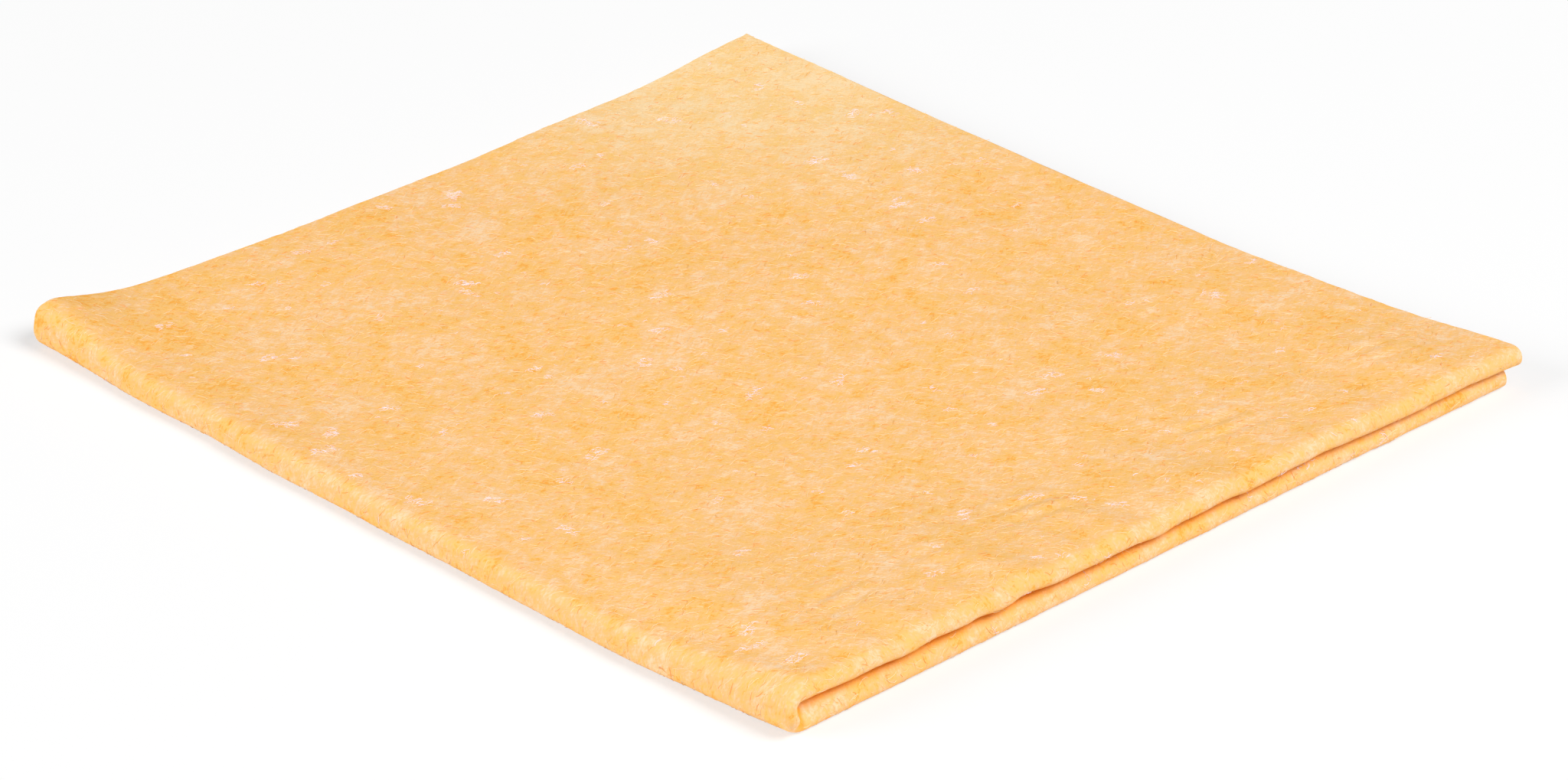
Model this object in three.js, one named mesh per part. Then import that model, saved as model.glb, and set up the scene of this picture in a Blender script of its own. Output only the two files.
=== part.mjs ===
import * as THREE from 'three';

// A non-woven scouring cloth, folded twice into quarters and laid flat. Millimetres, +Z up.
// The first fold lies at +X, the second at -Y, and the cut edges at -X and +Y.
//
// The cloth is one sheet. Its sections meet where the sheet bends: four leaves, a strip along
// each fold, and the corner where the folds cross. A place on the flat sheet is (u, v), measured
// across the first and the second fold from their lines. u > 0 ends up outside the first fold and
// u < 0 inside it, v > 0 ends up in the upper pair of leaves and v < 0 in the lower pair.

// The sheet as it was cut
const SHEET_LENGTH = 550; // across the first fold
const SHEET_WIDTH = 500; // across the second fold
const THICKNESS = 1.4;
const FIRST_FOLD_OFFSET = 1; // the inner leaves are longer by twice this
const SECOND_FOLD_OFFSET = 1.4; // the upper leaves are longer by twice this

// The first fold's two edges, one lying on the other
const LOWER_EDGE_HEIGHT = 6.2;
const UPPER_EDGE_HEIGHT = 5.4;
const LOWER_EDGE_SETBACK = 1.9; // how far the upper edge overhangs the lower one at their cut ends
const CORNER_SETBACK = 0.8; // the same at the second fold
const EDGE_SKEW = 3.2; // how far the edges draw in from their cut ends to the second fold
const EDGE_SPRING_REACH = 48; // how far in from the edge the leaves still spring apart
const PRESSED_REACH = 30; // the same in the second fold, which presses the edges flat
const PRESSED_WIDTH = 18; // how far past the second fold the edges are still pressed

// The second fold, which wraps all four layers
const SPINE_HEIGHT = 8; // along the middle of the fold
const SPINE_END_RISE = 4.6; // extra height at the cut end, away from the first fold
const SPINE_END_REACH = 45;
const SPINE_SPRING_REACH = 17;
const SPINE_BOW = 1.3; // how far the middle of the fold stands out past its ends
const CORNER_SET_IN = 0.7; // how much further in the fold's end at the first fold lies
const CORNER_SET_IN_REACH = 18;
const CORNER_SWELL = 1.7; // extra height of the lower edge where the folds cross
const CORNER_SWELL_REACH = 60;
const CORNER_PARTING = 1.2; // air between the two edges where the folds cross

// How the layers lie
const LAYER_GAP = 0.3; // air between two layers that rest on each other
const SECTION_GAP = 0.3; // between neighbouring sections of the sheet
const STRIP_MARGIN = 4; // flat cloth beside a bend, in the same strip
const CORNER_LIFT = 2.2; // of the top leaf's loose corner
const CORNER_REACH = 70;
const CUT_EDGE_BOW = 3.5; // how far the cut edge opposite the first fold is drawn in

const CLOTH_COLOUR = 0xfcc987;
const SETBACK_LEVEL = 0.3; // the share of the bend's height in which the lower edge steps back
const NORMAL_STEP = 0.01; // on the flat sheet, for the surface normal

// Worked out from the sizes above
const REST_OPENING = (THICKNESS + LAYER_GAP) / 2; // half the distance between resting layers
const LOWER_EDGE_RADIUS = (LOWER_EDGE_HEIGHT - THICKNESS) / 2;
const UPPER_EDGE_RADIUS = (UPPER_EDGE_HEIGHT - THICKNESS) / 2;
const EDGE_RADIUS = (LOWER_EDGE_RADIUS + UPPER_EDGE_RADIUS) / 2;
const SPINE_OPENING = (SPINE_HEIGHT - THICKNESS) / 2 - 2 * REST_OPENING;
const CORNER_OPENING = (THICKNESS + CORNER_PARTING) / 2;
const QUARTER_TURN = Math.PI / 2;
const EDGE_HALF_BEND = QUARTER_TURN * EDGE_RADIUS; // half the cloth in a bend of the first fold
const OUTER_LENGTH = SHEET_LENGTH / 2 - FIRST_FOLD_OFFSET;
const INNER_LENGTH = SHEET_LENGTH / 2 + FIRST_FOLD_OFFSET;
const UPPER_WIDTH = SHEET_WIDTH / 2 + SECOND_FOLD_OFFSET;
const LOWER_WIDTH = SHEET_WIDTH / 2 - SECOND_FOLD_OFFSET;

const { clamp, lerp, smoothstep } = THREE.MathUtils;

// A fold springs open: 1 at the bend, falling to 0 past its reach
const spring = (distance, reach, power) => Math.exp(-((Math.max(distance, 0) / reach) ** power));

// Where u lies across the first fold: how far in from the fold's crest, which side of the pair
// (1 outside, -1 inside, between them in the bend) and how much the pair springs open there, free
// and pressed by the second fold
function acrossFirstFold(u) {
  const turn = clamp(u / EDGE_HALF_BEND, -1, 1) * QUARTER_TURN;
  const straight = Math.max(Math.abs(u) - EDGE_HALF_BEND, 0);
  const inset = EDGE_RADIUS * (1 - Math.cos(turn)) + straight;
  const open = spring(straight, EDGE_SPRING_REACH, 1.3);
  const pressed = spring(straight, PRESSED_REACH, 1.3);
  return { inset, side: Math.sin(turn), open, pressed };
}

// Half the distance between the lower pair's layers, past the second fold's bend by a given length
function lowerOpening(open, straight) {
  const swell = (CORNER_SWELL / 2) * spring(straight, CORNER_SWELL_REACH, 1.3);
  return lerp(REST_OPENING, LOWER_EDGE_RADIUS + swell, open);
}

// Where v lies across the second fold: the angle round the bend, how high in the stack (0 in the
// lower pair, 1 in the upper), the cloth past the bend, and half the distances between the layers
function acrossSecondFold(v, { inset, side, open, pressed }) {
  const bendLower = lowerOpening(pressed, 0);
  const bendUpper = lerp(REST_OPENING, UPPER_EDGE_RADIUS, pressed);
  const endRise = (SPINE_END_RISE / 2) * (1 - smoothstep(OUTER_LENGTH - inset, 0, SPINE_END_REACH));
  const bendMiddle = lerp(SPINE_OPENING + endRise, CORNER_OPENING, pressed);
  const radius = bendMiddle + (bendLower + bendUpper) / 2;
  const halfBend = QUARTER_TURN * (radius + side * REST_OPENING * (1 - pressed));
  const turn = clamp(v / halfBend, -1, 1) * QUARTER_TURN;
  const level = (1 + Math.sin(turn)) / 2;
  const straight = Math.max(Math.abs(v) - halfBend, 0);
  const openHere = lerp(pressed, open, smoothstep(straight, 0, PRESSED_WIDTH));
  const lower = lowerOpening(openHere, straight);
  const upper = lerp(REST_OPENING, UPPER_EDGE_RADIUS, openHere);
  const middle = lerp(REST_OPENING, bendMiddle, spring(straight, SPINE_SPRING_REACH, 2));
  return { turn, level, straight, radius, bendLower, bendUpper, lower, middle, upper };
}

// The loose corner's lift, which grows from the bottom layer, lying flat, to the top one
function cornerLift(inset, straight, side, level) {
  const fromCorner = OUTER_LENGTH - inset + UPPER_WIDTH - straight;
  const near = 1 - smoothstep(fromCorner, 0, CORNER_REACH);
  const layersBelow = lerp((1 - side) / 2, 2 + (1 + side) / 2, level);
  return (CORNER_LIFT * near * layersBelow) / 3;
}

// Past the second fold's bend the layers lie on each other, from the bottom leaf up
function stackedHeight(upperPair, side, { lower, middle, upper }) {
  const lowerLayer = THICKNESS / 2 + lower * (1 - side);
  const upperLayer = THICKNESS / 2 + 2 * (lower + middle) + upper * (1 + side);
  return upperPair ? upperLayer : lowerLayer;
}

// The middle of the sheet's thickness, folded, with the folds' crests near x = 0 and y = 0
function foldedPoint(u, v) {
  const first = acrossFirstFold(u);
  const second = acrossSecondFold(v, first);
  const { inset, side } = first;
  const { turn, level, straight, radius, bendLower, bendUpper } = second;
  const arm = radius + side * lerp(bendLower, bendUpper, level);
  const bendY = radius + (bendLower + bendUpper + THICKNESS) / 2;
  const bendZ = THICKNESS / 2 + bendLower + radius + arm * Math.sin(turn);
  const along = clamp(inset / OUTER_LENGTH, 0, 1);
  const across = clamp(straight / UPPER_WIDTH, 0, 1);
  const below = 1 - smoothstep(level, 0, SETBACK_LEVEL);
  const setback = lerp(CORNER_SETBACK, LOWER_EDGE_SETBACK, across) * below;
  const skew = EDGE_SKEW * (1 - along) * (1 - across);
  const drawnIn = CUT_EDGE_BOW * along ** 2 * Math.sin(Math.PI * across);
  const bow = SPINE_BOW * (2 * along - 1) ** 2 + CORNER_SET_IN * spring(inset, CORNER_SET_IN_REACH, 1);
  const z = straight > 0 ? stackedHeight(v > 0, side, second) : bendZ;
  return new THREE.Vector3(
    drawnIn - inset - setback - skew,
    bendY - arm * Math.cos(turn) + straight + bow * (1 - across),
    z + cornerLift(inset, straight, side, level),
  );
}

function sheetNormal(u, v) {
  const alongU = foldedPoint(u + NORMAL_STEP, v).sub(foldedPoint(u - NORMAL_STEP, v));
  const alongV = foldedPoint(u, v + NORMAL_STEP).sub(foldedPoint(u, v - NORMAL_STEP));
  return alongU.cross(alongV).normalize();
}

// Lines of the grid between two places, spread by a function from 0..1 to 0..1
function lines(from, to, count, spread = (t) => t) {
  return Array.from({ length: count + 1 }, (_, i) => lerp(from, to, spread(i / count)));
}
const closerAtStart = (t) => t ** 1.5;
const closerAtEnds = (t) => lerp(t, smoothstep(t, 0, 1), 0.5);

// Lines across a strip: its bend, and one step of flat cloth on each side
const stripLines = (half, bend, count) => [-half, ...lines(-bend, bend, count), half];

// One section of the sheet: a closed solid, both faces on the same grid, joined round the rim. Each
// quad is cut along the diagonal that points to where the folds cross, so that layers lie parallel.
function section(name, uLines, vLines) {
  const positions = [];
  const index = [];
  const columns = uLines.length;
  const rows = vLines.length;
  for (const face of [-1, 1]) {
    for (const v of vLines) {
      for (const u of uLines) {
        const place = foldedPoint(u, v).addScaledVector(sheetNormal(u, v), (face * THICKNESS) / 2);
        positions.push(place.x, place.y, place.z);
      }
    }
  }
  const corner = (face, row, column) => (face * rows + row) * columns + column;
  const quad = (a, b, c, d) => index.push(a, b, c, a, c, d);
  for (let row = 0; row < rows - 1; row += 1) {
    for (let column = 0; column < columns - 1; column += 1) {
      const ring = [[row, column], [row, column + 1], [row + 1, column + 1], [row + 1, column]];
      if (uLines[column] * vLines[row] < 0) ring.push(ring.shift());
      const [a, b, c, d] = ring;
      quad(...[a, b, c, d].map((place) => corner(1, ...place)));
      quad(...[a, d, c, b].map((place) => corner(0, ...place)));
    }
  }
  const rim = [
    ...uLines.map((_, column) => [0, column]),
    ...vLines.slice(1).map((_, row) => [row + 1, columns - 1]),
    ...uLines.slice(1).map((_, column) => [rows - 1, columns - 2 - column]),
    ...vLines.slice(1).map((_, row) => [rows - 2 - row, 0]),
  ];
  for (let i = 0; i < rim.length - 1; i += 1) {
    const [here, next] = [rim[i], rim[i + 1]];
    quad(corner(0, ...here), corner(0, ...next), corner(1, ...next), corner(1, ...here));
  }
  const geometry = new THREE.BufferGeometry();
  geometry.setAttribute('position', new THREE.Float32BufferAttribute(positions, 3));
  geometry.setIndex(index);
  geometry.computeVertexNormals();
  const felt = new THREE.MeshStandardMaterial({ color: CLOTH_COLOUR, roughness: 0.95, metalness: 0 });
  const mesh = new THREE.Mesh(geometry, felt);
  mesh.name = name;
  return mesh;
}

// The strips hold every bend, with a margin of flat cloth
const spineHalfBend = QUARTER_TURN * (SPINE_OPENING + SPINE_END_RISE / 2 + 2 * REST_OPENING);
const edgeHalfStrip = EDGE_HALF_BEND + STRIP_MARGIN;
const spineHalfStrip = spineHalfBend + STRIP_MARGIN;

const edgeStrip = stripLines(edgeHalfStrip - SECTION_GAP / 2, EDGE_HALF_BEND, 8);
const spineStrip = stripLines(spineHalfStrip - SECTION_GAP / 2, spineHalfBend, 12);
const leafStart = edgeHalfStrip + SECTION_GAP / 2;
const pairStart = spineHalfStrip + SECTION_GAP / 2;

const outerLeaf = lines(leafStart, OUTER_LENGTH, 16, closerAtEnds);
const innerLeaf = lines(-leafStart, -INNER_LENGTH, 16, closerAtEnds).reverse();
const upperPair = lines(pairStart, UPPER_WIDTH, 15, closerAtStart);
const lowerPair = lines(-pairStart, -LOWER_WIDTH, 15, closerAtStart).reverse();

const cloth = new THREE.Group();
cloth.add(
  section('bottom_leaf', outerLeaf, lowerPair),
  section('lower_inner_leaf', innerLeaf, lowerPair),
  section('lower_edge_fold', edgeStrip, lowerPair),
  section('upper_inner_leaf', innerLeaf, upperPair),
  section('top_leaf', outerLeaf, upperPair),
  section('upper_edge_fold', edgeStrip, upperPair),
  section('inner_spine_fold', innerLeaf, spineStrip),
  section('outer_spine_fold', outerLeaf, spineStrip),
  section('corner_fold', edgeStrip, spineStrip),
);

// The origin is under the middle of the folded cloth, on the surface it lies on
const box = new THREE.Box3().setFromObject(cloth);
const middle = box.getCenter(new THREE.Vector3());
cloth.position.set(-middle.x, -middle.y, -box.min.z);

export default cloth;
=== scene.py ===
import math

import bpy
import numpy as np
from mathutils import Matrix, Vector


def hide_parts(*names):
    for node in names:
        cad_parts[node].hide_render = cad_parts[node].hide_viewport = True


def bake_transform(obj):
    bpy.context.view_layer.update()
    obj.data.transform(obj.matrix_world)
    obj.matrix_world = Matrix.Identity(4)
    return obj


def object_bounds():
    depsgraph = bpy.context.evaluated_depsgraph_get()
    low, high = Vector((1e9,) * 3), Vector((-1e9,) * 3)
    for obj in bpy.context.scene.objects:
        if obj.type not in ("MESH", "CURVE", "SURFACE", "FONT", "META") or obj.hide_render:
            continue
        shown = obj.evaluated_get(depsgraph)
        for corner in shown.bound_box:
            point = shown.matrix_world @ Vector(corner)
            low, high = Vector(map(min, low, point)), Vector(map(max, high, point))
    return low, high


# A non-woven scouring cloth, folded twice into quarters. The cloth is laid out flat, dressed with
# its fibres and then folded, all by one map from the flat sheet to the folded one. Metres.
#
# A place on the flat sheet is (u, v), measured across the first and the second fold from their
# lines. u > 0 ends up in the top and the bottom leaf and u < 0 in the two leaves between them, v > 0
# in the upper pair of leaves and v < 0 in the lower pair. Flat meshes have x = -u and y = v, so that
# the side that ends up outside faces up.
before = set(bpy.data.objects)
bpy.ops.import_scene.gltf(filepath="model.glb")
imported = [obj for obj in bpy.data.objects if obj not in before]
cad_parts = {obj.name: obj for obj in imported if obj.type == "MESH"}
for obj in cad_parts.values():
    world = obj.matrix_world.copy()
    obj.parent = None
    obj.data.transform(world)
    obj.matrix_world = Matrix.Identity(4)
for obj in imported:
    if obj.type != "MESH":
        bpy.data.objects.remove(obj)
cad_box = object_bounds()

# The sheet as it was cut
SHEET_LENGTH, SHEET_WIDTH = 0.550, 0.500  # across the first and the second fold
THICKNESS = 0.0014
THICKNESS_VARIES = 0.06  # as a share
FIRST_FOLD_OFFSET, SECOND_FOLD_OFFSET = 0.001, 0.0014  # inner and upper leaves are longer by twice these
RIM_ROUND = 0.00015  # how far the cut edge's middle stands out past its faces
RIM_FRAY = 0.0001
NEAR_RIM_U, NEAR_RIM_V = 0.26, 0.24  # beyond which the grid follows the frayed edge

# The first fold's two edges, one lying on the other
LOWER_EDGE_HEIGHT, UPPER_EDGE_HEIGHT = 0.0062, 0.0054
EDGE_SQUARENESS = 2.2
EDGE_SPRING_REACH = 0.048  # how far in from the edge the leaves still spring apart
PRESSED_REACH = 0.030  # the same in the second fold, which presses the edges flat
PRESSED_WIDTH = 0.018  # how far past the second fold the edges are still pressed
EDGE_SKEW = 0.0030  # how far the edges draw in from their cut ends to the second fold
EDGE_PARTING, PARTING_VARIES = 0.0008, 0.4  # the mean gap between the edges, and its waves as a share
EDGES_CLOSE = 0.10, 0.24  # along the edges, from where the gap narrows to where they touch
EDGE_WAVE = 0.00012  # of the edges, up and down and in and out
UPPER_WAVE_SHIFT = 0.3  # along the edges, so that the upper one sways apart from the lower one
END_SAG, END_STANDS_OUT, END_REACH = 0.0008, 0.0005, 0.07  # the edges sink and stand out at the cut end

# How the lower edge steps back under the upper one
LOWER_EDGE_SETBACK, CORNER_SETBACK = 0.0021, 0.0020  # at the cut end and at the front corner
SETBACK_RAMP, OUTER_RAMP = 0.0018, 2.5  # over which it steps back, and how much longer that is outside
SETBACK_FALL = 0.1, 0.7  # below the second fold's middle, as shares of its bend
OUTER_SETBACK_LOSS, OUTER_SETBACK_SIDES = 0.45, (-0.3, 1)  # how much less the outer layer steps back

# The second fold, which wraps all four layers
SPINE_HEIGHT, SPINE_SPRING_REACH, SPINE_SPRING_POWER = 0.0080, 0.016, 1.4
SPINE_BOW = 0.0005  # how far the middle of the fold stands out past its ends
SPINE_END_RISE, SPINE_END_REACH = 0.0046, 0.038  # it springs higher at the cut end
SPINE_WAVE, SPINE_WAVE_STARTS = 0.0003, (0.005, 0.030)  # of its crest, in and out, past the front corner
FRONT_SQUARENESS, FRONT_SQUARENESS_BELOW = 1.8, 2.0  # at the front corner, in its upper and lower half
BACK_SQUARENESS, BACK_SQUARENESS_BELOW = 2.7, 2.3  # at the cut end
SQUARE_REACH = 0.07  # from the front corner, over which the one becomes the other
PAST_BEND = 0.004, 0.030  # beside the bend, from where the leaves start to wave to where they wave freely

# The front corner, where the folds cross
CORNER_SET_IN, CORNER_SET_IN_REACH, CORNER_SET_IN_POWER = 0.0019, 0.030, 1  # of the second fold's end
CORNER_SWELL, CORNER_SWELL_REACH = 0.0017, 0.060  # extra height of the lower edge
CORNER_PARTING = 0.0012  # air between the two edges
CORNER_INSET = 0.018  # how far in along the second fold the corner's own forms reach
CORNER_TUCK = 0.0030  # how far the gap's end goes in behind the corner's wall
CORNER_WALL = 0.0026  # the wall of the second fold that stays in front of the gap
GAP_SQUARENESS = 4.0  # of the inner layer's bend behind the wall
NOTCH, NOTCH_REACH, NOTCH_POWER = 0.0013, 0.0030, 1.5  # where the lower edge leaves the wall
NOTCH_SIDES = -0.2, 0.9  # from the inner to the outer side of the edge, over which the notch fades
CROWN, CROWN_INSET, CROWN_REACH = 0.0022, 0.023, 0.075  # the swell of the top leaf behind the corner

# How the layers lie
LAYER_GAP = 0.0003  # air between two layers that rest on each other
CORNER_LIFT, CORNER_REACH = 0.0022, 0.070  # of the loose corner
CUT_EDGE_BOW = 0.0035  # how far the cut edge opposite the first fold is drawn in
LEAF_WAVE = 0.0003  # the top leaf's slow rise and fall
CREASE_DEPTH, CREASES_AT, CREASES_REACH = 0.00018, 0.026, 0.014  # faint creases beside the first fold
CREASE_WANDER, CREASE_BREAK_RANGE = 0.0025, (-0.2, 1.0)

# Irregular waves, as a seed and the wavelengths that are summed, each as a few stretched waves
WAVES_EACH, WAVE_STRETCH = 4, (0.8, 1.25)
LOWER_EDGE_RIPPLE = 11, (0.045, 0.090)
UPPER_EDGE_RIPPLE = 12, (0.030, 0.070)
PARTING_RIPPLE = 13, (0.014, 0.030)
EDGE_SWAY_RIPPLE = 14, (0.013, 0.030)
SPINE_RIPPLE = 15, (0.050, 0.110)
LEAF_RIPPLE = 16, (0.060, 0.110, 0.170)
CREASE_RIPPLE = 17, (0.006, 0.009)
CREASE_WANDER_RIPPLE = 18, (0.050,)
CREASE_BREAK_RIPPLE = 19, (0.030, 0.060)
RIM_RIPPLE_U = 21, (0.004, 0.011, 0.030)
RIM_RIPPLE_V = 22, (0.004, 0.011, 0.030)
THICKNESS_RIPPLE = 23, (0.004, 0.009)

# Worked out from the sizes above
REST_OPENING = (THICKNESS + LAYER_GAP) / 2
LOWER_EDGE_RADIUS = (LOWER_EDGE_HEIGHT - THICKNESS) / 2
UPPER_EDGE_RADIUS = (UPPER_EDGE_HEIGHT - THICKNESS) / 2
EDGE_RADIUS = (LOWER_EDGE_RADIUS + UPPER_EDGE_RADIUS) / 2
SPINE_OPENING = (SPINE_HEIGHT - THICKNESS) / 2 - 2 * REST_OPENING
CORNER_OPENING = (THICKNESS + CORNER_PARTING) / 2
QUARTER_TURN = math.pi / 2
EDGE_HALF_BEND = QUARTER_TURN * EDGE_RADIUS
OUTER_LENGTH = SHEET_LENGTH / 2 - FIRST_FOLD_OFFSET
INNER_LENGTH = SHEET_LENGTH / 2 + FIRST_FOLD_OFFSET
UPPER_WIDTH = SHEET_WIDTH / 2 + SECOND_FOLD_OFFSET
LOWER_WIDTH = SHEET_WIDTH / 2 - SECOND_FOLD_OFFSET

# How the curves run, and the steps they are worked out in
SPRING_POWER, BELL_POWER, PARTING_POWER, BEND_LENGTH_POWER = 1.3, 2, 3, 0.8
TOP_SIDE = 0.99  # past which a place is on the outer leaf, not on the edge
NORMAL_STEP = 2e-5  # on the flat sheet, for the surface normal
FOLD_ZONE, LINES_BETWEEN = 0.01, 60  # for the box of the plain folds


def mix(a, b, share):
    return a + (b - a) * share


def smooth(value, low, high):
    t = np.clip((value - low) / (high - low), 0, 1)
    return t * t * (3 - 2 * t)


def spring(distance, reach, power=SPRING_POWER):
    """A fold springs open: 1 at the bend, falling to 0 past its reach."""
    return np.exp(-((np.maximum(distance, 0) / reach) ** power))


def ripple(seed, wavelengths, *places):
    """A smooth irregular wave over one or two coordinates, about -1 to 1."""
    rng = np.random.default_rng(seed)
    total = 0
    for wavelength in wavelengths:
        for _ in range(WAVES_EACH):
            turn, phase = rng.uniform(0, 2 * math.pi), rng.uniform(0, 2 * math.pi)
            stretch = rng.uniform(*WAVE_STRETCH)
            way = (1,) if len(places) == 1 else (math.cos(turn), math.sin(turn))
            along = sum(w * p for w, p in zip(way, places))
            total = total + np.sin(2 * math.pi * along / (wavelength * stretch) + phase)
    return total / math.sqrt(WAVES_EACH * len(wavelengths))


def squared(turn, squareness):
    """The cosine and sine of an angle round a bend that is squarer than a circle."""
    c, s = np.cos(turn), np.sin(turn)
    out = (np.abs(c) ** squareness + np.abs(s) ** squareness) ** (-1 / squareness)
    return c * out, s * out


def bend_length(squareness):
    """The cloth in a quarter of a bend of radius 1: from a circle's to a square's."""
    return 2 - (2 - QUARTER_TURN) * (2 / squareness) ** BEND_LENGTH_POWER


def across_first_fold(u):
    """How far in from the first fold, and on which side of its pair of leaves: -1 inside, 1 outside.

    Then how open the pair is, past the second fold and in it.
    """
    turn = np.clip(u / EDGE_HALF_BEND, -1, 1) * QUARTER_TURN
    straight = np.maximum(np.abs(u) - EDGE_HALF_BEND, 0)
    out, side = squared(turn, EDGE_SQUARENESS)
    inset = EDGE_RADIUS * (1 - out) + straight
    return inset, side, spring(straight, EDGE_SPRING_REACH), spring(straight, PRESSED_REACH)


def near_cut_end(straight):
    """0 along the first fold's edges, rising to 1 at their cut end."""
    return smooth(straight, UPPER_WIDTH - END_REACH, UPPER_WIDTH)


def lower_opening(straight, share, soft):
    """Half the distance between the lower pair's leaves."""
    swell = CORNER_SWELL * spring(straight, CORNER_SWELL_REACH) - END_SAG * near_cut_end(straight)
    wave = soft * EDGE_WAVE * smooth(straight, *PAST_BEND) * ripple(*LOWER_EDGE_RIPPLE, straight)
    return mix(REST_OPENING, LOWER_EDGE_RADIUS + swell / 2 + wave, share)


def upper_opening(straight, share, soft):
    """Half the distance between the upper pair's leaves."""
    wave = soft * EDGE_WAVE * smooth(straight, *PAST_BEND) * ripple(*UPPER_EDGE_RIPPLE, straight)
    return mix(REST_OPENING, UPPER_EDGE_RADIUS + wave, share)


def middle_opening(straight, bend_middle, opened, soft):
    """Half the distance between the two pairs: sprung at the second fold, parted along the edges."""
    sprung = mix(REST_OPENING, bend_middle, spring(straight, SPINE_SPRING_REACH, SPINE_SPRING_POWER))
    parting = EDGE_PARTING * smooth(straight, *PAST_BEND) * (1 - smooth(straight, *EDGES_CLOSE))
    varied = 1 + PARTING_VARIES * ripple(*PARTING_RIPPLE, straight)
    parting = soft * parting * opened**PARTING_POWER * varied
    return sprung + np.maximum(parting, 0) / 2


def soft_relief(inset, side, straight, v, layers_below):
    """The slow swells of the leaves, the crown, and the faint creases in the top leaf."""
    past_bend = smooth(straight, *PAST_BEND)
    swells = LEAF_WAVE * ripple(*LEAF_RIPPLE, inset, straight)
    crown = CROWN * inset / CROWN_INSET * np.exp(1 - inset / CROWN_INSET) * spring(straight, CROWN_REACH)
    top_leaf = (side > TOP_SIDE) & (v > 0)
    creased = spring(np.abs(inset - CREASES_AT), CREASES_REACH, BELL_POWER) * past_bend * top_leaf
    broken = smooth(ripple(*CREASE_BREAK_RIPPLE, straight), *CREASE_BREAK_RANGE)
    wander = CREASE_WANDER * ripple(*CREASE_WANDER_RIPPLE, straight)
    creases = CREASE_DEPTH * creased * broken * ripple(*CREASE_RIPPLE, inset + wander)
    return (swells + crown * past_bend) * layers_below + creases


def folded_middle(u, v, soft):
    """The middle of the sheet's thickness, folded. soft is 1 for the soft cloth, 0 for the plain folds."""
    inset, side, opened, pressed = across_first_fold(u)
    inner, outer = (1 - side) / 2, (1 + side) / 2
    along = np.clip(inset / OUTER_LENGTH, 0, 1)
    at_corner = spring(inset, CORNER_INSET, BELL_POWER)

    # The second fold's bend
    bend_lower = lower_opening(0 * u, pressed, soft)
    bend_upper = upper_opening(0 * u, pressed, soft)
    end_rise = SPINE_END_RISE / 2 * (1 - smooth(OUTER_LENGTH - inset, 0, SPINE_END_REACH))
    bend_middle = mix(SPINE_OPENING + end_rise, CORNER_OPENING, pressed)
    radius = bend_middle + (bend_lower + bend_upper) / 2
    front_squareness = np.where(v > 0, FRONT_SQUARENESS, FRONT_SQUARENESS_BELOW)
    back_squareness = np.where(v > 0, BACK_SQUARENESS, BACK_SQUARENESS_BELOW)
    squareness = mix(front_squareness, back_squareness, smooth(inset, 0, SQUARE_REACH))
    half_bend = bend_length(squareness) * (radius + side * REST_OPENING * (1 - pressed))
    turn = np.clip(v / half_bend, -1, 1) * QUARTER_TURN
    out, rise = squared(turn, mix(squareness, GAP_SQUARENESS, inner * at_corner))
    level = (1 + rise) / 2
    arm = radius + side * mix(bend_lower, bend_upper, level)
    bend_y = radius + (bend_lower + bend_upper + THICKNESS) / 2
    bend_z = THICKNESS / 2 + bend_lower + radius + arm * rise

    # The leaves past the bend
    straight = np.maximum(np.abs(v) - half_bend, 0)
    across = np.clip(straight / UPPER_WIDTH, 0, 1)
    past_bend = smooth(straight, *PAST_BEND)
    here = mix(pressed, opened, smooth(straight, 0, PRESSED_WIDTH))
    lower = lower_opening(straight, here, soft)
    upper = upper_opening(straight, here, soft)
    middle = middle_opening(straight, bend_middle, opened, soft)
    lower_z = THICKNESS / 2 + lower * (1 - side)
    upper_z = THICKNESS / 2 + 2 * (lower + middle) + upper * (1 + side)
    z = np.where(straight > 0, np.where(v > 0, upper_z, lower_z), bend_z)

    # The lower edge, which steps back and comes out from behind the corner's wall
    tuck = CORNER_TUCK * inner * at_corner
    wall = CORNER_WALL * at_corner
    ramp = SETBACK_RAMP * (1 + OUTER_RAMP * smooth(side, 0, 1))
    below = smooth(-rise, *SETBACK_FALL) * (1 - smooth((arm + tuck) * out, wall, wall + ramp))
    corner_setback = CORNER_SETBACK * (1 - OUTER_SETBACK_LOSS * smooth(side, *OUTER_SETBACK_SIDES))
    notch = NOTCH * spring(straight, NOTCH_REACH, NOTCH_POWER) * (1 - smooth(side, *NOTCH_SIDES))
    setback = (mix(corner_setback, LOWER_EDGE_SETBACK, across) + notch * at_corner) * below

    # The slow lines of the whole cloth, and its waves
    skew = EDGE_SKEW * (1 - along) * (1 - across)
    drawn_in = CUT_EDGE_BOW * along**2 * np.sin(math.pi * across)
    set_in = CORNER_SET_IN * spring(inset, CORNER_SET_IN_REACH, CORNER_SET_IN_POWER)
    bow = SPINE_BOW * (2 * along - 1) ** 2 + set_in
    from_corner = OUTER_LENGTH - inset + UPPER_WIDTH - straight
    lift = CORNER_LIFT * (1 - smooth(from_corner, 0, CORNER_REACH))
    layers_below = mix(inner, 2 + outer, level) / 3  # as a share: none at the bottom leaf, 1 at the top
    sway_at = straight + UPPER_WAVE_SHIFT * (v > 0)
    edge_sway = EDGE_WAVE * opened * past_bend * ripple(*EDGE_SWAY_RIPPLE, sway_at)
    on_spine = (1 - past_bend) * smooth(inset, *SPINE_WAVE_STARTS)
    spine_sway = SPINE_WAVE * on_spine * ripple(*SPINE_RIPPLE, inset)
    end_out = END_STANDS_OUT * opened * near_cut_end(straight)
    relief = soft_relief(inset, side, straight, v, layers_below)
    x = drawn_in - inset - setback - skew + end_out + soft * edge_sway
    y = bend_y - (arm + soft * tuck) * out + straight + bow * (1 - across) + soft * spine_sway
    return np.stack([x, y, z + lift * layers_below + soft * relief], -1)


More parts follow.
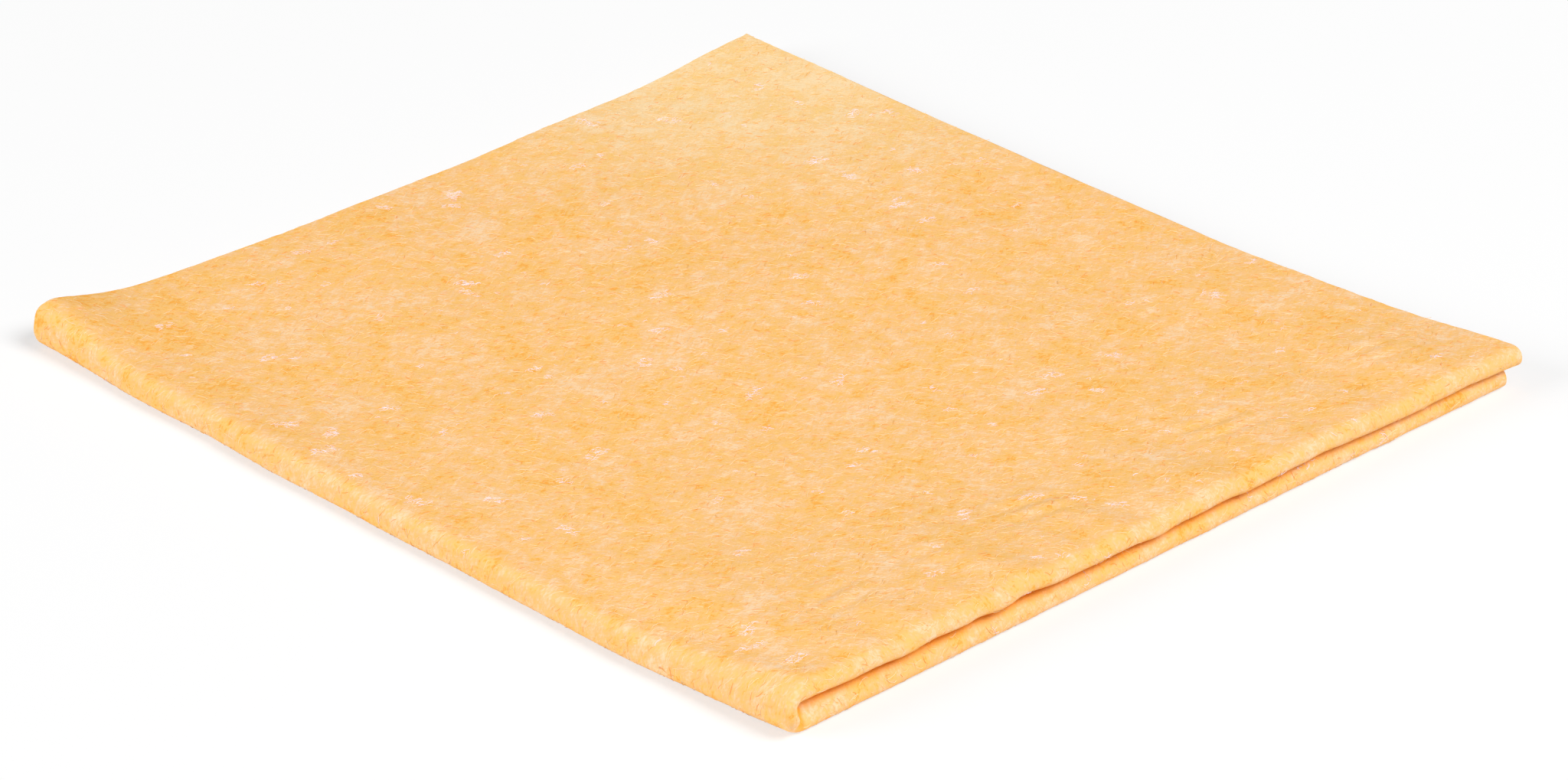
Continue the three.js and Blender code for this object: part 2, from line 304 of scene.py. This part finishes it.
def outward(u, v, soft):
    """The side of the sheet that ends up outside, as a unit vector at each place."""
    along_u = folded_middle(u + NORMAL_STEP, v, soft) - folded_middle(u - NORMAL_STEP, v, soft)
    along_v = folded_middle(u, v + NORMAL_STEP, soft) - folded_middle(u, v - NORMAL_STEP, soft)
    across = np.cross(along_v, along_u)
    return across / np.linalg.norm(across, axis=-1, keepdims=True)


def lines_about_fold(low, high):
    """Lines across the sheet, closest together about the fold at 0."""
    stops = low, -FOLD_ZONE, FOLD_ZONE, high
    spans = zip(stops, stops[1:])
    return np.concatenate([np.linspace(start, end, LINES_BETWEEN) for start, end in spans])


def frame_shift():
    """From the folds' own corner to the row frame.

    The plain folds' box has its middle where the solids have it, and stands as low as they do.
    """
    lines_u = lines_about_fold(-INNER_LENGTH, OUTER_LENGTH)
    lines_v = lines_about_fold(-LOWER_WIDTH, UPPER_WIDTH)
    u, v = (grid.ravel() for grid in np.meshgrid(lines_u, lines_v))
    outside = folded_middle(u, v, 0) + outward(u, v, 0) * THICKNESS / 2
    low, high = outside.min(0), outside.max(0)
    middle = (np.array(cad_box[0]) + np.array(cad_box[1])) / 2
    shift = middle - (low + high) / 2
    shift[2] = cad_box[0].z - low[2]
    return shift


SHIFT = frame_shift()


def fold_points(flat):
    """Flat places, as (-u, v, height above the sheet's middle), to the folded cloth in the row frame."""
    u, v = -flat[:, 0], flat[:, 1]
    return folded_middle(u, v, 1) + outward(u, v, 1) * flat[:, 2:3] + SHIFT


SHARP_ANGLE = math.radians(50)


def coordinates(mesh):
    flat = np.empty(len(mesh.vertices) * 3, np.float32)
    mesh.vertices.foreach_get("co", flat)
    return flat.reshape(-1, 3).astype(float)


def finish_piece(piece):
    """Keeps a flat piece's places for its material, and folds it."""
    flat = coordinates(piece.data)
    kept = piece.data.attributes.new("flat_place", "FLOAT_VECTOR", "POINT")
    kept.data.foreach_set("vector", flat.astype(np.float32).ravel())
    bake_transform(piece)
    piece.data.vertices.foreach_set("co", fold_points(flat).astype(np.float32).ravel())
    piece.data.update()
    piece.data.set_sharp_from_angle(angle=SHARP_ANGLE)


def new_piece(name, points, faces, material):
    mesh = bpy.data.meshes.new(name)
    mesh.from_pydata(points.tolist(), [], faces.tolist())
    mesh.materials.append(material)
    mesh.polygons.foreach_set("use_smooth", np.ones(len(mesh.polygons), bool))
    piece = bpy.data.objects.new(name, mesh)
    bpy.context.scene.collection.objects.link(piece)
    return piece


# The cloth's grid, as a place and the step from there to the next one: finest where it bends
CLOTH_LINES_U = (
    (-INNER_LENGTH, 0.009),
    (-0.0300, 0.003),
    (-0.0045, 0.0005),
    (0.0045, 0.0012),
    (0.0500, 0.0018),
    (OUTER_LENGTH, 0),
)
CLOTH_LINES_V = (
    (-LOWER_WIDTH, 0.0045),
    (-0.0200, 0.0015),
    (-0.0085, 0.0006),
    (0.0085, 0.0012),
    (0.0400, 0.0019),
    (UPPER_WIDTH, 0),
)


def grid_lines(stops):
    """Lines through the stops, each a place and the step from there to the next one."""
    lines = []
    for (start, step), (end, _) in zip(stops, stops[1:]):
        count = max(1, round(abs(end - start) / step))
        lines += [mix(start, end, i / count) for i in range(count)]
    return np.array(lines + [stops[-1][0]])


def grid_quads(rows, columns):
    """A grid's faces, which face up where x falls along each row and y rises from row to row."""
    place = np.arange(rows * columns).reshape(rows, columns)
    return np.stack([place[:-1, :-1], place[1:, :-1], place[1:, 1:], place[:-1, 1:]], -1).reshape(-1, 4)


def band(loop, next_loop):
    """The faces between two closed loops of points."""
    return np.stack([loop, np.roll(loop, -1), np.roll(next_loop, -1), next_loop], -1)


def half_thickness(u, v):
    return THICKNESS / 2 * (1 + THICKNESS_VARIES * ripple(*THICKNESS_RIPPLE, u, v))


def make_cloth(material):
    """The sheet laid flat: two faces on one grid, joined round a rounded rim."""
    u, v = grid_lines(CLOTH_LINES_U), grid_lines(CLOTH_LINES_V)
    rows, columns = len(v), len(u)
    count = rows * columns
    flat_u, flat_v = np.meshgrid(u, v)
    flat_u = flat_u + RIM_FRAY * ripple(*RIM_RIPPLE_U, flat_v) * (np.abs(flat_u) > NEAR_RIM_U)
    flat_v = flat_v + RIM_FRAY * ripple(*RIM_RIPPLE_V, flat_u) * (np.abs(flat_v) > NEAR_RIM_V)
    half = half_thickness(flat_u, flat_v)
    upper = np.stack([-flat_u, flat_v, half], -1).reshape(-1, 3)
    lower = upper * (1, 1, -1)

    place = np.arange(count).reshape(rows, columns)
    ring = np.concatenate([place[0, :-1], place[:-1, -1], place[-1, :0:-1], place[:0:-1, 0]])
    rim = upper[ring] * (1, 1, 0)
    on_x = np.isin(ring % columns, (0, columns - 1))
    on_y = np.isin(ring // columns, (0, rows - 1))
    outwards = np.sign(rim[:, :2] - rim[:, :2].mean(0)) * np.stack([on_x, on_y], -1)
    rim[:, :2] += RIM_ROUND * outwards

    quads = grid_quads(rows, columns)
    under = quads[:, ::-1] + count
    rim_at = 2 * count + np.arange(len(ring))
    bands = [band(ring, rim_at), band(rim_at, ring + count)]
    points, faces = np.concatenate([upper, lower, rim]), np.concatenate([quads, under, *bands])
    return new_piece("cloth", points, faces, material)


class Nodes:
    """A node tree, built a node at a time."""

    def __init__(self, tree):
        self.tree = tree

    def add(self, kind, settings=None, **inputs):
        made = self.tree.nodes.new(kind)
        for name, value in (settings or {}).items():
            setattr(made, name, value)
        for name, value in inputs.items():
            self.put(made, name, value)
        return made

    def put(self, made, name, value):
        """Sets an input, named with _ for a space or numbered as _0, or links a socket to it."""
        socket = made.inputs[int(name[1:])] if name[0] == "_" else made.inputs[name.replace("_", " ")]
        if isinstance(value, bpy.types.NodeSocket):
            self.tree.links.new(value, socket)
        else:
            socket.default_value = value

    def maths(self, what, *values):
        inputs = {f"_{number}": value for number, value in enumerate(values)}
        return self.add("ShaderNodeMath", {"operation": what}, **inputs).outputs[0]

    def centred(self, value, weight):
        """A share from 0 to 1, moved to lie about 0 and weighted."""
        return self.maths("MULTIPLY_ADD", value, weight, -weight / 2)

    def range(self, value, low, high, to_low=0.0, to_high=1.0, kind="LINEAR"):
        settings = {"interpolation_type": kind, "clamp": True}
        ends = {"From_Min": low, "From_Max": high, "To_Min": to_low, "To_Max": to_high}
        return self.add("ShaderNodeMapRange", settings, Value=value, **ends).outputs[0]

    def noise(self, place, per_metre, detail, roughness):
        settings = {"noise_dimensions": "3D"}
        inputs = {"Scale": per_metre, "Detail": detail, "Roughness": roughness}
        return self.add("ShaderNodeTexNoise", settings, Vector=place, **inputs)

    def distance(self, place, middle):
        made = self.add("ShaderNodeVectorMath", {"operation": "DISTANCE"}, _0=place, _1=middle)
        return made.outputs["Value"]

    def turned(self, place, degrees, stretch):
        """The place turned in the sheet's plane and squeezed along the turned x."""
        turned = self.add("ShaderNodeMapping", {"vector_type": "TEXTURE"}, Vector=place)
        self.put(turned, "Rotation", (0, 0, math.radians(degrees)))
        self.put(turned, "Scale", (stretch, 1, 1))
        return turned.outputs[0]

    def mixed(self, share, first, second):
        return self.add("ShaderNodeMix", {"data_type": "RGBA"}, _0=share, _6=first, _7=second).outputs[2]


DEEP_ORANGE = (0.985, 0.440, 0.068, 1)
WARM_YELLOW = (0.985, 0.565, 0.160, 1)
FELT_ORANGE = (0.985, 0.566, 0.228, 1)
PALE_PEACH = (0.985, 0.695, 0.432, 1)
# only for the painted highlight at the loose corner
HIGHLIGHT_YELLOW = (0.985, 0.840, 0.404, 1)
WHITE_FIBRE = (0.985, 0.860, 0.900, 1)
PALE_FIBRE = (0.985, 0.755, 0.440, 1)
DEEP_FIBRE = (0.985, 0.340, 0.050, 1)
# the painted shade in the gap between the edges
GAP_SHADE_ORANGE = (0.995, 0.410, 0.056, 1)
FELT_FINISH = {
    "Roughness": 0.95,
    "Specular IOR Level": 0.12,
    "Sheen Weight": 0.08,
    "Sheen Roughness": 0.6,
    "Sheen Tint": (1.0, 0.80, 0.52, 1),
}

# The felt's pattern, as noises per metre with their detail and roughness, and their weights in its tone
CURLS, CURL_REACH = (260.0, 2.0, 0.5), 0.0016
CLOUDS, CLOUD_WEIGHT = (55.0, 3.0, 0.55), 1.0
SPOTS, SPOT_WEIGHT = (230.0, 3.0, 0.6), 1.3
GRAIN, GRAIN_WEIGHT = (1900.0, 2.0, 0.6), 0.6
STREAKS, STREAK_WEIGHT = (1500.0, 2.0, 0.6), 2.6
STREAK_TURNS, STREAK_STRETCH = (20, 54, 82, 122), 7.0  # degrees, and times as long as wide
STREAK_COARSER = 110.0  # per metre, from each way of the streaks to the next
MIDDLE_TONE = 0.5
TONES = ((0.06, DEEP_ORANGE), (0.28, WARM_YELLOW), (0.55, FELT_ORANGE), (1.0, PALE_PEACH))
BUMP_STREAKS, BUMP_GRAIN, BUMP_STRENGTH, BUMP_DISTANCE = 1.4, 0.6, 0.6, 0.0004

# Painted light: the cloth is made paler at its loose corner, a painted highlight, and deeper by the cut
# end of the second fold, painted shade in the valley behind its crest
HIGHLIGHT_CORNER, HIGHLIGHT_REACH = (-OUTER_LENGTH, UPPER_WIDTH, 0), (0.03, 0.13)
HIGHLIGHT_TONE, HIGHLIGHT_SHARE = 0.2, 0.28
VALLEY_SHADE_AT, VALLEY_SHADE_REACH, VALLEY_SHADE_TONE = (-OUTER_LENGTH, 0.018, 0), (0.0, 0.050), -0.24

# Painted shade: the deep orange in the gap between the edges, across the first fold on its inner side
GAP_SHADE_STARTS, GAP_SHADE_ENDS = (0.0006, 0.0024), (0.0036, 0.0056)
GAP_SHADE_WHERE_CLOSED = 0.35
TUCK_SHADE_AT, TUCK_SHADE_WIDTH, TUCK_SHADE_LENGTH = -0.0050, (0.0004, 0.0012), (0.0012, 0.0024)  # behind the corner's wall


def new_material(name):
    material = bpy.data.materials.new(name)
    material.use_nodes = True
    shader = material.node_tree.nodes["Principled BSDF"]
    for socket, value in FELT_FINISH.items():
        shader.inputs[socket].default_value = value
    return material, Nodes(material.node_tree), shader


def painted_gap_shade(nodes, place):
    """How strong the painted shade is, up to 1: deep orange in the gap between the two edges, and where
    its end tucks in.
    """
    across, along = nodes.add("ShaderNodeSeparateXYZ", Vector=place).outputs[:2]
    from_edge, from_spine = nodes.maths("ABSOLUTE", across), nodes.maths("ABSOLUTE", along)
    started = nodes.range(across, *GAP_SHADE_STARTS)
    gap_shade = nodes.maths("MULTIPLY", started, nodes.range(across, *GAP_SHADE_ENDS, 1.0, 0.0))
    closing = nodes.range(from_spine, *EDGES_CLOSE, 1.0, GAP_SHADE_WHERE_CLOSED)
    gap_shade = nodes.maths("MULTIPLY", gap_shade, closing)
    from_tuck = nodes.maths("ABSOLUTE", nodes.maths("SUBTRACT", along, TUCK_SHADE_AT))
    tuck = nodes.range(from_tuck, *TUCK_SHADE_WIDTH, 1.0, 0.0)
    tuck = nodes.maths("MULTIPLY", tuck, nodes.range(from_edge, *TUCK_SHADE_LENGTH, 1.0, 0.0))
    return nodes.maths("MAXIMUM", gap_shade, tuck)


def felt_material():
    """Needled felt: clouds and spots of paler and deeper fibres, and short streaks every way, with painted
    shade in the gap and by the second fold's cut end, and a painted highlight at the loose corner.
    """
    material, nodes, shader = new_material("needled_felt")
    place = nodes.add("ShaderNodeAttribute", {"attribute_name": "flat_place"}).outputs["Vector"]
    curls = nodes.noise(place, *CURLS).outputs["Color"]
    wander = {"_0": curls, "_1": (CURL_REACH,) * 3, "_2": place}
    curly = nodes.add("ShaderNodeVectorMath", {"operation": "MULTIPLY_ADD"}, **wander).outputs[0]
    clouds = nodes.noise(place, *CLOUDS).outputs[0]
    spots = nodes.noise(curly, *SPOTS).outputs[0]
    grain = nodes.noise(curly, *GRAIN).outputs[0]
    per_metre, *finer = STREAKS
    streaks = 0.0
    for number, degrees in enumerate(STREAK_TURNS):
        turned = nodes.turned(curly, degrees, STREAK_STRETCH)
        streak = nodes.noise(turned, per_metre - STREAK_COARSER * number, *finer).outputs[0]
        streaks = nodes.maths("ADD", streaks, streak)
    streaks = nodes.maths("DIVIDE", streaks, float(len(STREAK_TURNS)))

    tone = MIDDLE_TONE
    patterns = (clouds, spots, streaks, grain)
    weights = (CLOUD_WEIGHT, SPOT_WEIGHT, STREAK_WEIGHT, GRAIN_WEIGHT)
    for pattern, weight in zip(patterns, weights):
        tone = nodes.maths("ADD", tone, nodes.centred(pattern, weight))
    # Painted shade: a deeper tone in the valley behind the second fold's crest at its cut end
    valley_shade = nodes.range(nodes.distance(place, VALLEY_SHADE_AT), *VALLEY_SHADE_REACH, VALLEY_SHADE_TONE, 0.0, "SMOOTHSTEP")
    tone = nodes.maths("ADD", tone, valley_shade)
    # Painted highlight: a paler tone towards the loose corner
    corner_highlight = nodes.range(nodes.distance(place, HIGHLIGHT_CORNER), *HIGHLIGHT_REACH, 1.0, 0.0, "SMOOTHSTEP")
    tone = nodes.maths("MULTIPLY_ADD", corner_highlight, HIGHLIGHT_TONE, tone)
    ramp = nodes.add("ShaderNodeValToRGB", Fac=tone)
    while len(ramp.color_ramp.elements) < len(TONES):
        ramp.color_ramp.elements.new(0.5)
    for element, (at, colour) in zip(ramp.color_ramp.elements, TONES):
        element.position, element.color = at, colour

    # The painted highlight also mixes in pale yellow towards the loose corner
    felt = nodes.mixed(nodes.maths("MULTIPLY", corner_highlight, HIGHLIGHT_SHARE), ramp.outputs["Color"], HIGHLIGHT_YELLOW)
    # Painted shade: the felt turns deep orange in the gap between the edges and behind the corner's wall
    nodes.put(shader, "Base Color", nodes.mixed(painted_gap_shade(nodes, place), felt, GAP_SHADE_ORANGE))

    streak_height = nodes.maths("MULTIPLY", streaks, BUMP_STREAKS)
    height = nodes.maths("ADD", streak_height, nodes.maths("MULTIPLY", grain, BUMP_GRAIN))
    bump = nodes.add("ShaderNodeBump", Height=height, Strength=BUMP_STRENGTH, Distance=BUMP_DISTANCE)
    nodes.put(shader, "Normal", bump.outputs["Normal"])
    return material


def plain_material(name, colour):
    material, nodes, shader = new_material(name)
    nodes.put(shader, "Base Color", colour)
    return material


# Each kind of fibre: name, colour, number per square metre, seed, shortest and longest, and its
# radius as a share of its length
FIBRES = (
    ("long_pale_fibres", PALE_FIBRE, 70e3, 31, 0.0022, 0.0048, 0.014),
    ("short_pale_fibres", PALE_FIBRE, 70e3, 32, 0.0010, 0.0024, 0.026),
    ("long_yellow_fibres", WARM_YELLOW, 70e3, 33, 0.0020, 0.0044, 0.014),
    ("short_deep_fibres", DEEP_FIBRE, 57e3, 34, 0.0010, 0.0024, 0.024),
)
TUFTS = ("white_tufts", WHITE_FIBRE, 5.2e6, 35, 0.0006, 0.0017, 0.036)
TUFT_COUNT, TUFT_SEED, TUFT_SPREAD = 880, 41, 0.985  # over this share of the sheet's length and width
TUFT_SMALLEST, TUFT_LARGEST, TUFT_SKEW = (0.0009, 0.0007), (0.0068, 0.0034), 2.5  # most are small
TUFT_LIFT = 0.00005

# A fibre of length 1: how far it bows and where its bow leans, for each shape, its arch and sunk ends
FIBRE_SHAPES = ((0.34, 0.1), (0.16, -0.15), (-0.26, 0.0), (-0.08, 0.2))
FIBRE_ARCH, FIBRE_ENDS = 0.09, -0.03
FIBRE_SEGMENTS, FIBRE_SIDES = 3, 3
FIBRE_LAY, FIBRE_SPREAD = math.radians(65), math.radians(65)  # the way they lie, and turn from it
FIBRE_TILT = 0.05  # radians, out of the sheet's plane

# Where fibres are set: closest on the outer leaf and the edges, which show, and none deep in the gap,
# where the painted shade shows bare
PATCH_MARGIN = 0.001
PATCH_LINES_U = (
    (-INNER_LENGTH + PATCH_MARGIN, 0.006),
    (-0.010, 0.001),
    (0.002, 0.004),
    (OUTER_LENGTH - PATCH_MARGIN, 0),
)
PATCH_ROWS = 161
HIDDEN_SHARE = 0.3
OUTER_SIDE, SHOWN_PAST_FOLD = (-0.0025, -0.0005), (-0.012, -0.008)
BARE_STARTS = 0.0016, 0.0032


def fibre_group():
    """Scatters short curved fibres over a flat patch, more of them where the patch's share is higher."""
    group = bpy.data.node_groups.new("scattered_fibres", "GeometryNodeTree")
    kinds = {
        "Patch": "Geometry",
        "Density": "Float",
        "Seed": "Int",
        "Radius": "Float",
        "Shortest": "Float",
        "Longest": "Float",
        "Material": "Material",
    }
    for name, kind in kinds.items():
        group.interface.new_socket(name, in_out="INPUT", socket_type="NodeSocket" + kind)
    group.interface.new_socket("Fibres", in_out="OUTPUT", socket_type="NodeSocketGeometry")
    nodes = Nodes(group)
    given = nodes.add("NodeGroupInput").outputs
    seed = given["Seed"]

    shapes = nodes.add("GeometryNodeGeometryToInstance")
    for bow, lean in FIBRE_SHAPES:
        path = nodes.add("GeometryNodeCurveQuadraticBezier", Resolution=FIBRE_SEGMENTS)
        nodes.put(path, "Start", (-0.5, 0, FIBRE_ENDS))
        nodes.put(path, "Middle", (lean, bow, FIBRE_ARCH))
        nodes.put(path, "End", (0.5, 0, FIBRE_ENDS))
        section = {"Resolution": FIBRE_SIDES, "Radius": given["Radius"]}
        ring = nodes.add("GeometryNodeCurvePrimitiveCircle", **section)
        swept = {"Curve": path.outputs[0], "Profile_Curve": ring.outputs[0]}
        tube = nodes.add("GeometryNodeCurveToMesh", **swept, Fill_Caps=True)
        group.links.new(tube.outputs[0], shapes.inputs[0])

    share = nodes.add("GeometryNodeInputNamedAttribute", {"data_type": "FLOAT"}, Name="share").outputs[0]
    density = nodes.maths("MULTIPLY", share, given["Density"])
    patch = {"Mesh": given["Patch"], "Density": density, "Seed": seed}
    points = nodes.add("GeometryNodeDistributePointsOnFaces", **patch).outputs["Points"]
    last = len(FIBRE_SHAPES) - 1
    shape = nodes.add("FunctionNodeRandomValue", {"data_type": "INT"}, _4=0, _5=last, Seed=seed)
    least = (-FIBRE_TILT, -FIBRE_TILT, FIBRE_LAY - FIBRE_SPREAD)
    most = (FIBRE_TILT, FIBRE_TILT, FIBRE_LAY + FIBRE_SPREAD)
    turns = {"_0": least, "_1": most, "Seed": seed}
    turn = nodes.add("FunctionNodeRandomValue", {"data_type": "FLOAT_VECTOR"}, **turns)
    lengths = {"_2": given["Shortest"], "_3": given["Longest"], "Seed": seed}
    length = nodes.add("FunctionNodeRandomValue", {"data_type": "FLOAT"}, **lengths)
    fibres = nodes.add("GeometryNodeInstanceOnPoints", Points=points, Instance=shapes.outputs[0])
    nodes.put(fibres, "Pick Instance", True)
    nodes.put(fibres, "Instance Index", shape.outputs[2])
    nodes.put(fibres, "Rotation", turn.outputs[0])
    nodes.put(fibres, "Scale", length.outputs[1])
    real = nodes.add("GeometryNodeRealizeInstances", Geometry=fibres.outputs[0])
    dressed = nodes.add("GeometryNodeSetMaterial", Geometry=real.outputs[0], Material=given["Material"])
    nodes.add("NodeGroupOutput", Fibres=dressed.outputs[0])
    return group


def outer_patch():
    """The sheet's outer side, laid flat. Fibres are set closest where the folded cloth shows."""
    u = grid_lines(PATCH_LINES_U)
    v = np.linspace(-LOWER_WIDTH + PATCH_MARGIN, UPPER_WIDTH - PATCH_MARGIN, PATCH_ROWS)
    flat_u, flat_v = np.meshgrid(u, v)
    points = np.stack([-flat_u, flat_v, half_thickness(flat_u, flat_v)], -1).reshape(-1, 3)
    on_top, on_edge = smooth(flat_v, *SHOWN_PAST_FOLD), smooth(-flat_u, *SHOWN_PAST_FOLD)
    shown = smooth(flat_u, *OUTER_SIDE) * np.maximum(on_top, on_edge)
    # bare of fibres over the painted shade in the gap
    bare = smooth(-flat_u, *BARE_STARTS) * (1 - smooth(-flat_u, *GAP_SHADE_ENDS))
    share = mix(HIDDEN_SHARE, 1, shown) * (1 - bare)
    return points, grid_quads(len(v), len(u)), share.ravel()


def tuft_patches():
    """A small patch for each white tuft, strewn over the sheet's outer side.

    Each is thick in its middle and thin at its rim.
    """
    rng = np.random.default_rng(TUFT_SEED)
    corners = np.array([(-0.5, -0.5), (0.5, -0.5), (0.5, 0.5), (-0.5, 0.5), (0, 0)])
    fan = np.array([(0, 1, 4), (1, 2, 4), (2, 3, 4), (3, 0, 4)])
    points, faces = [], []
    for number in range(TUFT_COUNT):
        middle = rng.uniform((-OUTER_LENGTH, -LOWER_WIDTH), (INNER_LENGTH, UPPER_WIDTH)) * TUFT_SPREAD
        size = mix(np.array(TUFT_SMALLEST), np.array(TUFT_LARGEST), rng.random() ** TUFT_SKEW)
        turn = FIBRE_LAY + rng.uniform(-FIBRE_SPREAD, FIBRE_SPREAD)
        way = np.array([(math.cos(turn), math.sin(turn)), (-math.sin(turn), math.cos(turn))])
        places = middle + corners * size @ way
        heights = half_thickness(-places[:, 0], places[:, 1]) + TUFT_LIFT
        points.append(np.column_stack([places, heights]))
        faces.append(fan + len(corners) * number)
    return np.concatenate(points), np.concatenate(faces), np.tile((0, 0, 0, 0, 1), TUFT_COUNT)


def make_fibres(name, group, patch, material, density, seed, **sizes):
    """Fibres over a patch, as one plain mesh, folded with the cloth."""
    points, faces, share = patch
    ground = new_piece(name + "_ground", points, faces, material)
    kept = ground.data.attributes.new("share", "FLOAT", "POINT")
    kept.data.foreach_set("value", share.astype(np.float32))
    modifier = ground.modifiers.new("fibres", "NODES")
    modifier.node_group = group
    values = {"Density": density, "Seed": seed, "Material": material, **sizes}
    for socket in group.interface.items_tree:
        if socket.in_out == "INPUT" and socket.name in values:
            modifier[socket.identifier] = values[socket.name]
    ground.update_tag()
    scattered = ground.evaluated_get(bpy.context.evaluated_depsgraph_get())
    mesh = bpy.data.meshes.new_from_object(scattered)
    mesh.name = name
    bpy.data.objects.remove(ground)
    fibres = bpy.data.objects.new(name, mesh)
    bpy.context.scene.collection.objects.link(fibres)
    finish_piece(fibres)
    return name


FLOOR_REACH, FLOOR_DROP = 5.0, 0.0001
FLOOR_FINISH = {"Base Color": (0.97, 0.97, 0.97, 1), "Roughness": 0.9, "Specular IOR Level": 0.0}
WHITE_SHARE = 0.6  # of plain white in the floor as the camera sees it; the rest takes the shadow


def make_floor():
    signs = np.array([(-1, -1, 0), (1, -1, 0), (1, 1, 0), (-1, 1, 0)])
    corners = signs * FLOOR_REACH - (0, 0, FLOOR_DROP)
    material = bpy.data.materials.new("white_table")
    material.use_nodes = True
    nodes = Nodes(material.node_tree)
    shader = material.node_tree.nodes["Principled BSDF"]
    for socket, value in FLOOR_FINISH.items():
        shader.inputs[socket].default_value = value
    seen = nodes.add("ShaderNodeLightPath").outputs["Is Camera Ray"]
    white = nodes.add("ShaderNodeEmission", Strength=1.0)
    share = nodes.maths("MULTIPLY", seen, WHITE_SHARE)
    both = nodes.add("ShaderNodeMixShader", _0=share, _1=shader.outputs[0], _2=white.outputs[0])
    nodes.put(material.node_tree.nodes["Material Output"], "Surface", both.outputs[0])
    floor = new_piece("floor", corners, np.array([[0, 1, 2, 3]]), material)


AMBIENT = 0.10
LAMP_DISTANCE, LAMP_SIZE = 4.5, 2.5
LAMPS = (("right_softbox", 100.0, 50.0, 188.0), ("left_softbox", -20.0, 25.0, 124.0))  # turn, rise, watts


def make_light():
    world = bpy.data.worlds.new("studio")
    world.use_nodes = True
    nodes = Nodes(world.node_tree)
    background = world.node_tree.nodes["Background"]
    background.inputs["Color"].default_value = (1, 1, 1, 1)
    seen = nodes.add("ShaderNodeLightPath").outputs["Is Camera Ray"]
    nodes.put(background, "Strength", nodes.range(seen, 0.0, 1.0, AMBIENT, 1.0))
    bpy.context.scene.world = world
    for name, azimuth, elevation, energy in LAMPS:
        lamp = bpy.data.lights.new(name, "AREA")
        lamp.shape, lamp.size, lamp.energy = "DISK", LAMP_SIZE, energy
        turn, rise = math.radians(azimuth), math.radians(elevation)
        level = math.cos(rise)
        way = Vector((math.sin(turn) * level, -math.cos(turn) * level, math.sin(rise)))
        shown = bpy.data.objects.new(name, lamp)
        shown.location = way * LAMP_DISTANCE
        shown.rotation_mode = "QUATERNION"
        shown.rotation_quaternion = (-way).to_track_quat("-Z", "Y")
        bpy.context.scene.collection.objects.link(shown)


CAMERA_PITCH, CAMERA_TURN, CAMERA_DISTANCE = math.radians(27.879), math.radians(45.842), 1.53504
CAMERA_LOOKS_AT = Vector((0.00474, 0.00119, -0.00516))
LENS, SENSOR = 140.625, 36.0  # millimetres


def make_camera():
    data = bpy.data.cameras.new("camera")
    data.sensor_fit, data.sensor_width, data.lens = "HORIZONTAL", SENSOR, LENS
    camera = bpy.data.objects.new("camera", data)
    level = math.cos(CAMERA_PITCH)
    way = Vector((-math.sin(CAMERA_TURN) * level, math.cos(CAMERA_TURN) * level, -math.sin(CAMERA_PITCH)))
    camera.location = CAMERA_LOOKS_AT - way * CAMERA_DISTANCE
    camera.rotation_euler = (math.pi / 2 - CAMERA_PITCH, 0, CAMERA_TURN)
    bpy.context.scene.collection.objects.link(camera)
    bpy.context.scene.camera = camera


make_camera()
make_light()
make_floor()
cloth = make_cloth(felt_material())
finish_piece(cloth)
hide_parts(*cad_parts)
group = fibre_group()
for name, colour, density, seed, shortest, longest, radius in FIBRES + (TUFTS,):
    patch = tuft_patches() if name == TUFTS[0] else outer_patch()
    sizes = {"Shortest": shortest, "Longest": longest, "Radius": radius}
    make_fibres(name, group, patch, plain_material(name, colour), density, seed, **sizes)
bpy.context.scene.view_settings.view_transform = "Standard"
